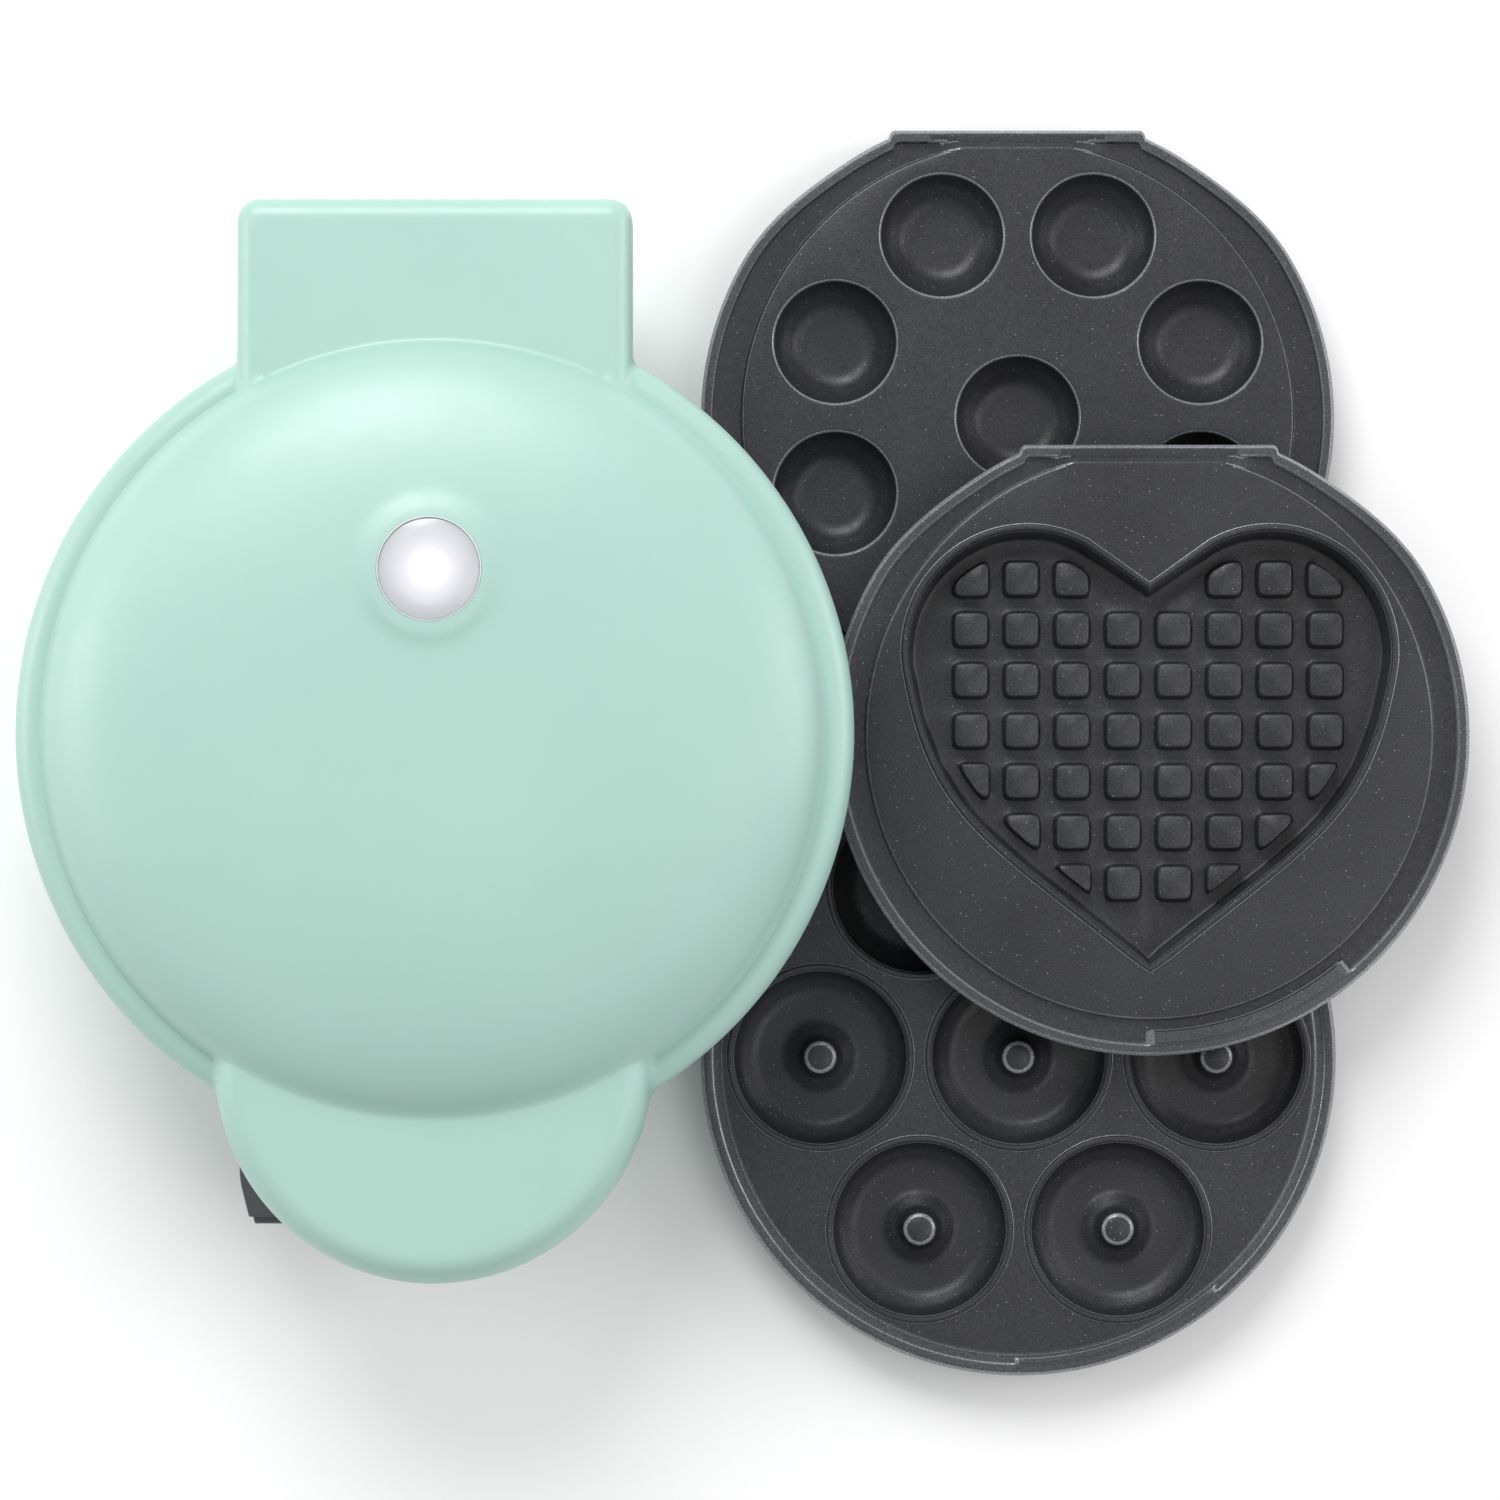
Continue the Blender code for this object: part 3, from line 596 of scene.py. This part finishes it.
def build_plate(name, replaced, body, kind, place, deck_z, facing, materials):
    """Cast plate seen from its cooking side: deck, hollows, rim channel, skirt, and bulges behind."""
    bm = bmesh.new()
    if kind == "donut":
        holes = round_features(bm, DONUT_PROFILE, hollow_places(6), PLATE_SIDES)
        bulges = round_features(bm, DONUT_BULGE, hollow_places(6), 40)
    elif kind == "cup":
        holes = round_features(bm, CUP_PROFILE, hollow_places(8, 0.5), PLATE_SIDES)
        bulges = round_features(bm, CUP_BULGE, hollow_places(8, 0.5), 40)
    else:
        holes, bulges = heart_features(bm)
    loops = add_rings(bm, rim_rings(kind))
    holed_face(bm, loops[0], holes)
    holed_face(bm, loops[-1], bulges)
    bmesh.ops.recalc_face_normals(bm, faces=bm.faces)
    flip = Matrix.Diagonal((MM, MM, MM * facing, 1.0))
    bmesh.ops.transform(bm, matrix=Matrix.Translation(Vector((place[0], place[1], deck_z)) * MM) @ flip,
                        verts=bm.verts)
    if facing < 0:
        bmesh.ops.reverse_faces(bm, faces=bm.faces)
    sort_faces(bm, place, deck_z, facing)
    mesh = bpy.data.meshes.new(name)
    bm.to_mesh(mesh)
    bm.free()
    mesh.shade_smooth()
    mesh.set_sharp_from_angle(angle=math.radians(42))
    for material in materials:
        mesh.materials.append(material)
    plate = bpy.data.objects.new(name, mesh)
    bpy.context.collection.objects.link(plate)
    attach(plate, body)
    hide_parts(replaced)
    return plate


def smooth_step(value):
    """Eases from 0 to 1 as value does, and stays there outside that span."""
    value = np.clip(value, 0.0, 1.0)
    return value * value * (3 - 2 * value)


def rim_rings(kind):
    """From the deck's edge over the channel and the rim, down the skirt and up inside it.

    The channel narrows to nothing behind the straight rear edge, and a raised catch bar
    fills it from the front to the right.
    """
    inner_r, depth = {"cup": (71.0, 2.0), "donut": (76.3, 1.5), "heart": (72.2, 1.7)}[kind]
    bar_r, bar_top = 75.2, 0.7
    outer = plate_radius(2.9)
    inner = np.minimum(inner_r, outer - 1.9)
    degrees = np.degrees(PLATE_ANGLES) % 360.0
    bar = smooth_step((degrees - 269.0) / 1.8) * smooth_step((311.0 - degrees) / 1.8)
    has_bar = bar > 0.001
    depth = depth * smooth_step((outer - inner - 1.9) / 2.5) + 0.12
    floor = -depth
    raised = floor + (bar_top - floor) * bar
    wall = [(-0.45, 0.0), (-0.2, 0.03), (0.0, 0.16), (0.1, 0.4), (0.3, 0.84), (0.5, 0.96), (0.75, 1.0)]
    rings = [plate_ring(inner + out, share * floor) for out, share in wall]
    bar_start = np.where(has_bar, np.maximum(bar_r, inner + 1.0), inner + 1.0)
    rings.append(plate_ring(bar_start - 0.1 * has_bar, floor))
    rings.append(plate_ring(bar_start + 0.15, floor + (raised - floor) * 0.75))
    rings.append(plate_ring(bar_start + 0.45, raised))
    rings.append(plate_ring(np.maximum(outer - 0.75, bar_start + 0.5), raised))
    for out, share in ((0.5, 0.96), (0.3, 0.84), (0.1, 0.4), (0.0, 0.16)):
        rings.append(plate_ring(np.maximum(outer - out, bar_start + 0.52), raised * share))
    skirt = rounded([(2.6, 0.0), (0.9, 0.0), (0.0, -1.2), (1.4, -PLATE_H), (3.4, -PLATE_H), (3.6, -3.6),
                     (5.2, -3.6)], [0, 0.6, 0.8, 0.5, 0.5, 0.8, 0], 4)
    return rings + [plate_ring(plate_radius(inset), height) for inset, height in skirt]


def heart_features(bm):
    """Heart-shaped hollow with a raised lip and its posts, and the bulge behind it."""
    heart = heart_loop()
    floor_z = -9.0
    profile = rounded([(2.7, 0.0), (2.1, 0.0), (1.7, 0.8), (0.8, 0.8), (0.2, 0.0), (-1.1, floor_z),
                       (-3.0, floor_z)], [0, 0.4, 0.4, 0.4, 0.4, 1.6, 0], 4)
    loops = add_rings(bm, [level(offset_loop(heart, out), height) for out, height in profile])
    holed_face(bm, loops[-1], waffle_posts(bm, floor_z, -4.4, offset_loop(heart, -4.4)))
    back = [(4.0, -3.6), (2.6, -4.2), (2.2, -10.6), (0.8, -11.4)]
    bulge = add_rings(bm, [level(offset_loop(heart, out), height) for out, height in back], close_last=True)
    return [loops[0]], [bulge[0]]


# ---------------------------------------------------------------- lamp, latch and small pieces

def build_lamp(lens_material, rim_material):
    """Domed lens in a thin rim, which fill the hole in the lid."""
    profile = rounded([(12.6, 81.0), (12.6, 87.2), (9.0, 87.9), (0.8, 87.9)], [0, 0.5, 8.0, 0], 6)
    rings = turned_rings(profile, 96, (0.0, LAMP_Y))
    verts, faces = skin(rings, cap_start=True, cap_end=True)
    lens = new_piece("lamp_window", verts, faces, lens_material, "lid", ("lamp_lens",), machine_offset(), 60)
    profile = [(12.62, 83.0), (12.62, 87.35), (12.7, 87.6), (12.85, 87.6), (12.95, 87.35), (12.95, 83.0)]
    verts, faces = skin(turned_rings(profile, 96, (0.0, LAMP_Y)), joined=True)
    ring = new_piece("lamp_rim", verts, faces, rim_material, "lid", (), machine_offset(), 60)


def build_latch(material):
    """Lever under the handle: a bevelled thumb tab with a second, lower step, hub and finger."""
    finger_angle, finger_half = math.radians(21.4), 3.0
    along = Vector((math.cos(finger_angle), math.sin(finger_angle)))
    across = Vector((-along.y, along.x)) * finger_half
    pivot = Vector(LATCH_PIVOT)
    root, tip = pivot + along * 6.0, pivot + along * 24.0
    plan = [(-51.3, -105.8), (-51.0, -113.6), (-48.7, -122.6), (-39.2, -122.7), (-25.5, -122.2),
            (-16.5, -119.4), tuple(root - across), tuple(tip - across), tuple(tip + across),
            tuple(root + across), (-19.0, -107.6), (-30.0, -107.4)]
    radii = [1.2, 20.0, 0.5, 4.0, 6.0, 4.0, 2.0, 2.6, 2.6, 3.0, 5.0, 6.0]
    upper = rounded(plan, radii, 5, closed=True)
    rings = [level(offset_loop(upper, -0.5), 27.4), level(upper, 27.4), level(upper, 28.8),
             level(offset_loop(upper, -0.12), 29.05), level(offset_loop(upper, -0.45), 29.2)]
    verts, faces = skin(rings, cap_start=True, cap_end=True)
    lever = new_piece("latch_tab", verts, faces, material, "latch", ("latch_lever",), machine_offset(), 35)
    step = [(-50.0, -107.6), (-49.6, -114.2), (-47.4, -124.4), (-39.6, -124.4), (-25.5, -122.2),
            (-16.5, -119.4), (-15.0, -112.0), (-19.0, -107.6), (-30.0, -107.4)]
    lower = rounded(step, [1.5, 20.0, 0.5, 4.0, 6.0, 3.0, 4.0, 5.0, 6.0], 5, closed=True)
    rings = [level(offset_loop(lower, -0.4), 25.2), level(lower, 25.6), level(lower, 26.9),
             level(offset_loop(lower, -0.3), 27.3)]
    verts, faces = skin(rings, cap_start=True, cap_end=True)
    piece = new_piece("latch_tab_step", verts, faces, material, "latch", (), machine_offset(), 35)


def build_lugs(material):
    """Two ears under the lid's block that turn on the hinge pins."""
    corners = [(123.0, 64.0), (123.0, 42.5), (130.6, 42.5), (130.6, 64.0)]
    plan = rounded(corners, [0, 3.4, 3.4, 0], 8, closed=True)
    hole = circle_points(HINGE_Y, HINGE_Z, 1.8)
    for side, name in ((-1, "left"), (1, "right")):
        bm = bmesh.new()
        near, far = sorted((side * 40.0, side * 44.0))
        outer = add_rings(bm, [[(x, y, z) for y, z in plan] for x in (near, far)])
        inner = add_rings(bm, [[(x, y, z) for y, z in hole] for x in (near, far)])
        holed_face(bm, outer[0], [inner[0]])
        holed_face(bm, outer[1], [inner[1]])
        bm.verts.index_update()
        verts = [tuple(v.co) for v in bm.verts]
        faces = [tuple(v.index for v in f.verts) for f in bm.faces]
        bm.free()
        lug = new_piece(f"lid_ear_{name}", verts, faces, material, "lid", (), machine_offset(), 35)


def build_feet(material):
    """Four round rubber feet with a recess underneath, at the solid feet's places."""
    for name in ("front_left", "front_right", "rear_left", "rear_right"):
        node = f"foot_{name}"
        centre = middle(node) / MM
        profile = rounded([(0.8, 0.25), (5.6, 0.25), (5.9, 0.0), (6.9, 0.0), (7.0, 1.0), (6.4, 5.7),
                           (0.8, 5.7)], [0, 0.2, 0.2, 0.5, 0.6, 0.5, 0], 4)
        rings = turned_rings(profile, SMALL_SIDES, (centre.x, centre.y))
        verts, faces = skin(rings, cap_start=True, cap_end=True)
        foot = new_piece(f"rubber_{node}", verts, faces, material, "base", (node,), (0, 0, 0), 40)


# ---------------------------------------------------------------- materials

class Nodes:
    """Small helper that adds nodes to a material and links them."""

    def __init__(self, name):
        self.material = bpy.data.materials.new(name)
        self.material.use_nodes = True
        self.tree = self.material.node_tree
        self.shader = self.tree.nodes["Principled BSDF"]

    def add(self, kind, **settings):
        """New node; a setting is a property of it or, failing that, one of its inputs."""
        node = self.tree.nodes.new(kind)
        for key, value in settings.items():
            if hasattr(node, key):
                setattr(node, key, value)
            else:
                node.inputs[key.replace("_", " ").title()].default_value = value
        return node

    def link(self, source, target):
        self.tree.links.new(source, target)

    def position(self):
        return self.add("ShaderNodeTexCoord").outputs["Object"]

    def noise(self, scale, detail=3.0, roughness=0.5):
        node = self.add("ShaderNodeTexNoise", scale=scale, detail=detail, roughness=roughness)
        self.link(self.position(), node.inputs["Vector"])
        return node.outputs["Fac"]

    def ramp(self, value, stops):
        """Colour ramp over a value, from places and colours."""
        node = self.add("ShaderNodeValToRGB")
        elements = node.color_ramp.elements
        while len(elements) < len(stops):
            elements.new(0.5)
        for element, (place, colour) in zip(elements, stops):
            element.position = place
            element.color = (*colour, 1.0) if len(colour) == 3 else colour
        self.link(value, node.inputs["Fac"])
        return node.outputs["Color"]

    def bump(self, heights, strength, distance):
        """Bump from one or more height outputs, chained."""
        previous = None
        for height, share in heights:
            node = self.add("ShaderNodeBump", strength=strength * share, distance=distance)
            self.link(height, node.inputs["Height"])
            if previous is not None:
                self.link(previous.outputs["Normal"], node.inputs["Normal"])
            previous = node
        self.link(previous.outputs["Normal"], self.shader.inputs["Normal"])

    def mix(self, factor, a, b, blend="MIX"):
        node = self.tree.nodes.new("ShaderNodeMix")
        node.data_type = "RGBA"
        node.blend_type = blend
        for socket, value in (("Factor_Float", factor), ("A_Color", a), ("B_Color", b)):
            target = next(s for s in node.inputs if s.identifier == socket)
            if isinstance(value, bpy.types.NodeSocket):
                self.link(value, target)
            elif socket == "Factor_Float":
                target.default_value = value
            else:
                target.default_value = (*value, 1.0)
        return next(s for s in node.outputs if s.identifier == "Result_Color")


def grey(value):
    return (value, value, value)


def mint_plastic():
    """Pale satin plastic: faint flow clouding, fine moulded grain, slight variation in gloss."""
    n = Nodes("mint_plastic")
    clouds = n.ramp(n.noise(14.0, 4.0), [(0.3, (0.352, 0.552, 0.486)), (0.7, (0.378, 0.578, 0.510))])
    n.link(clouds, n.shader.inputs["Base Color"])
    gloss = n.ramp(n.noise(90.0, 5.0, 0.6), [(0.35, grey(0.40)), (0.65, grey(0.47))])
    n.link(gloss, n.shader.inputs["Roughness"])
    n.shader.inputs["Specular IOR Level"].default_value = 0.85
    n.shader.inputs["Subsurface Weight"].default_value = 0.08
    n.shader.inputs["Subsurface Radius"].default_value = (0.6, 1.0, 0.8)
    n.shader.inputs["Subsurface Scale"].default_value = 0.003
    n.bump([(n.noise(1800.0, 2.0), 1.0), (n.noise(35.0, 2.0), 0.35)], 0.06, 0.0002)
    return n.material


def shaded(colour, share):
    """The same colour, lighter or darker."""
    return tuple(c * share for c in colour)


def moulded_plastic(name, colour, roughness, grain):
    """Plain plastic with slight clouding, uneven gloss and a fine grain."""
    n = Nodes(name)
    shade = n.ramp(n.noise(60.0, 4.0), [(0.3, shaded(colour, 0.88)), (0.7, shaded(colour, 1.14))])
    n.link(shade, n.shader.inputs["Base Color"])
    gloss = n.ramp(n.noise(240.0, 3.0), [(0.3, grey(roughness - 0.06)), (0.7, grey(roughness + 0.06))])
    n.link(gloss, n.shader.inputs["Roughness"])
    n.bump([(n.noise(2200.0, 2.0), 1.0)], grain, 0.0002)
    return n.material


def coated_metal(name, lift, roughness):
    """Charcoal non-stick coating: fine speckle with sparse bright flecks, pebbled bump, soft sheen.

    lift scales its lightness; above 1 it paints light onto the skirts and painted highlights along the deck's
    edges.
    """
    n = Nodes(name)
    dark, light = (0.022, 0.0225, 0.025), (0.056, 0.057, 0.062)
    fine = n.ramp(n.noise(2400.0, 3.0, 0.65), [(0.36, shaded(dark, lift)), (0.64, shaded(light, lift))])
    cloud = n.ramp(n.noise(30.0, 4.0), [(0.3, grey(0.82)), (0.7, grey(1.12))])
    base = n.mix(1.0, fine, cloud, "MULTIPLY")
    cells = n.add("ShaderNodeTexVoronoi", scale=1300.0)
    n.link(n.position(), cells.inputs["Vector"])
    flecks = n.ramp(cells.outputs["Distance"], [(0.10, grey(1.0)), (0.22, grey(0.0))])
    chosen = n.ramp(cells.outputs["Color"], [(0.80, grey(0.0)), (0.86, grey(1.0))])
    mask = n.mix(1.0, flecks, chosen, "MULTIPLY")
    colour = n.mix(mask, base, (0.38, 0.38, 0.40))
    n.link(colour, n.shader.inputs["Base Color"])
    gloss = n.ramp(n.noise(500.0, 4.0), [(0.3, grey(roughness - 0.06)), (0.7, grey(roughness + 0.07))])
    n.link(gloss, n.shader.inputs["Roughness"])
    n.shader.inputs["Metallic"].default_value = 0.25
    n.shader.inputs["Specular IOR Level"].default_value = 0.5
    n.bump([(n.noise(1500.0, 3.0), 1.0), (n.noise(260.0, 3.0), 0.4)], 0.22, 0.0003)
    return n.material


def lens_material():
    """Milky lens with painted light: a painted highlight and painted glow in the middle, fading to painted
    shade, a cooler grey, towards its edge.
    """
    n = Nodes("milky_lens_painted_highlight")
    centre = middle("lamp_lens")
    distance = n.add("ShaderNodeVectorMath", operation="DISTANCE")
    n.link(n.position(), distance.inputs[0])
    distance.inputs[1].default_value = (centre.x, centre.y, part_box("lamp_lens")[1].z)
    scaled = n.add("ShaderNodeMath", operation="DIVIDE")
    n.link(distance.outputs["Value"], scaled.inputs[0])
    scaled.inputs[1].default_value = LAMP_R * MM
    # painted highlight in the middle, painted shade towards the edge
    colour = n.ramp(scaled.outputs[0], [(0.1, (0.93, 0.93, 0.95)), (0.5, (0.70, 0.69, 0.745)),
                                        (0.95, (0.47, 0.50, 0.525))])
    n.link(colour, n.shader.inputs["Base Color"])
    # painted glow: emission that brightens the middle
    painted_glow = n.ramp(scaled.outputs[0], [(0.0, grey(0.40)), (0.4, grey(0.06)), (0.8, grey(0.0))])
    n.link(painted_glow, n.shader.inputs["Emission Color"])
    n.shader.inputs["Emission Strength"].default_value = 0.6
    n.shader.inputs["Roughness"].default_value = 0.22
    n.shader.inputs["Coat Weight"].default_value = 0.4
    n.bump([(n.noise(300.0, 2.0), 1.0)], 0.02, 0.0002)
    return n.material


def brushed_metal(name, colour, roughness):
    """Metal with fine lines along X."""
    n = Nodes(name)
    stretched = n.add("ShaderNodeMapping")
    stretched.inputs["Scale"].default_value = (1.0, 14.0, 14.0)
    n.link(n.position(), stretched.inputs["Vector"])
    lines = n.add("ShaderNodeTexNoise", scale=260.0, detail=4.0)
    n.link(stretched.outputs["Vector"], lines.inputs["Vector"])
    shade = n.ramp(lines.outputs["Fac"], [(0.3, shaded(colour, 0.85)), (0.7, colour)])
    n.link(shade, n.shader.inputs["Base Color"])
    gloss = n.ramp(lines.outputs["Fac"], [(0.3, grey(roughness - 0.05)), (0.7, grey(roughness + 0.08))])
    n.link(gloss, n.shader.inputs["Roughness"])
    n.shader.inputs["Metallic"].default_value = 1.0
    n.bump([(lines.outputs["Fac"], 1.0)], 0.05, 0.0002)
    return n.material


# ---------------------------------------------------------------- studio

LAYOUT_CENTRE = Vector((0.0, 0.0, 0.03))


def build_studio():
    """Pale floor just under the feet, white surroundings and four soft lamps."""
    size, below = 6.0, -0.0003
    mesh = bpy.data.meshes.new("floor")
    corners = [(-size, -size, below), (size, -size, below), (size, size, below), (-size, size, below)]
    mesh.from_pydata(corners, [], [(0, 1, 2, 3)])
    floor = bpy.data.objects.new("floor", mesh)
    bpy.context.collection.objects.link(floor)
    n = Nodes("pale_floor")
    n.shader.inputs["Base Color"].default_value = (0.93, 0.93, 0.93, 1.0)
    n.shader.inputs["Roughness"].default_value = 0.7
    mesh.materials.append(n.material)
    world = bpy.data.worlds.new("studio")
    world.use_nodes = True
    background = world.node_tree.nodes["Background"]
    background.inputs["Color"].default_value = (1.0, 1.0, 1.0, 1.0)
    background.inputs["Strength"].default_value = 0.56
    bpy.context.scene.world = world
    area_light("key", (-0.35, 1.25, 1.25), 1.1, 20.0)
    area_light("fill", (0.9, -0.3, 1.5), 1.2, 4.0)
    area_light("left_side", (-1.4, 0.25, 0.6), 0.8, 6.0)
    area_light("right_side", (1.4, 0.25, 0.6), 0.8, 6.0)


def area_light(name, place, size, power):
    """Round soft lamp aimed at the middle of the layout; place and size in metres."""
    light = bpy.data.lights.new(name, "AREA")
    light.shape = "DISK"
    light.size = size
    light.energy = power
    lamp = bpy.data.objects.new(name, light)
    bpy.context.collection.objects.link(lamp)
    lamp.location = place
    lamp.rotation_euler = (LAYOUT_CENTRE - Vector(place)).to_track_quat("-Z", "Y").to_euler()


def build_camera():
    """Straight above the layout, leaning very slightly towards the handle."""
    data = bpy.data.cameras.new("camera")
    camera = bpy.data.objects.new("camera", data)
    bpy.context.collection.objects.link(camera)
    data.sensor_width = 36.0
    data.lens = 144.0
    lean = math.radians(1.5)
    distance = 1.53
    camera.location = LAYOUT_CENTRE + Vector((0.0, -math.sin(lean), math.cos(lean))) * distance
    camera.rotation_euler = (lean, 0.0, 0.0)
    data.clip_end = 100.0
    bpy.context.scene.camera = camera


# ---------------------------------------------------------------- the whole object

def dress_cad_nodes(finishes):
    """Gives each solid that stays visible the finish of its material slot."""
    for part in frame["record"]["subparts"]:
        finish = finishes.get(part["material_slot"])
        if finish is None:
            continue
        node = frame["nodes"][part["node"]]
        node.data.materials.clear()
        node.data.materials.append(finish)


def main():
    """Camera and studio, then the materials, then every piece."""
    bpy.context.scene.view_settings.view_transform = "Standard"
    build_camera()
    build_studio()
    mint = mint_plastic()
    dark = moulded_plastic("dark_plastic", (0.045, 0.048, 0.055), 0.5, 0.12)
    grey_plastic = moulded_plastic("grey_plastic", (0.075, 0.08, 0.088), 0.42, 0.10)
    white = moulded_plastic("white_plastic", (0.80, 0.80, 0.80), 0.35, 0.05)
    rubber = moulded_plastic("rubber", (0.02, 0.02, 0.022), 0.75, 0.3)
    steel = brushed_metal("steel", (0.58, 0.59, 0.61), 0.3)
    aluminium = brushed_metal("aluminium", (0.72, 0.73, 0.74), 0.38)
    # the second coating paints highlights along the plates' edges, the third paints light onto their outer
    # rims and skirts
    coating = [coated_metal("nonstick_coating", lift=0.84, roughness=0.40),
               coated_metal("edge_painted_highlight_coating", lift=6.0, roughness=0.28),
               coated_metal("skirt_painted_light_coating", lift=1.7, roughness=0.36)]
    dress_cad_nodes({"dark_plastic": dark, "grey_plastic": grey_plastic, "steel": steel,
                     "aluminium": aluminium, "white_plastic": white, "white_lens": white})
    build_lid_shell(mint)
    build_base_shell(mint)
    build_liner("base_trim", "base_liner", "base", lip_z=45.4, seat_z=43.8, inner_z=41.5, material=dark)
    build_liner("lid_trim", "lid_liner", "lid", lip_z=46.0, seat_z=47.2, inner_z=49.9, material=dark)
    here = (MACHINE_X, MACHINE_Y)
    shift = (PLATE_R - PLATE_FLAT_Y) / 2
    build_plate("fitted_lower_plate", "lower_donut_plate", "base", "donut", here, LOWER_DECK_Z, 1.0, coating)
    build_plate("fitted_upper_plate", "upper_donut_plate", "lid", "donut", here, UPPER_DECK_Z, -1.0, coating)
    for name, node, body, kind in (("loose_donut_plate", "spare_donut_plate", "spare_plate", "donut"),
                                   ("loose_cake_plate", "cake_bite_plate", "cake_plate", "cup"),
                                   ("loose_heart_plate", "heart_waffle_plate", "heart_plate", "heart")):
        place = middle(node) / MM
        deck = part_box(node)[1].z / MM
        build_plate(name, node, body, kind, (place.x, place.y + shift), deck, 1.0, coating)
    build_lamp(lens_material(), white)
    build_lugs(mint)
    build_latch(grey_plastic)
    build_feet(rubber)


main()
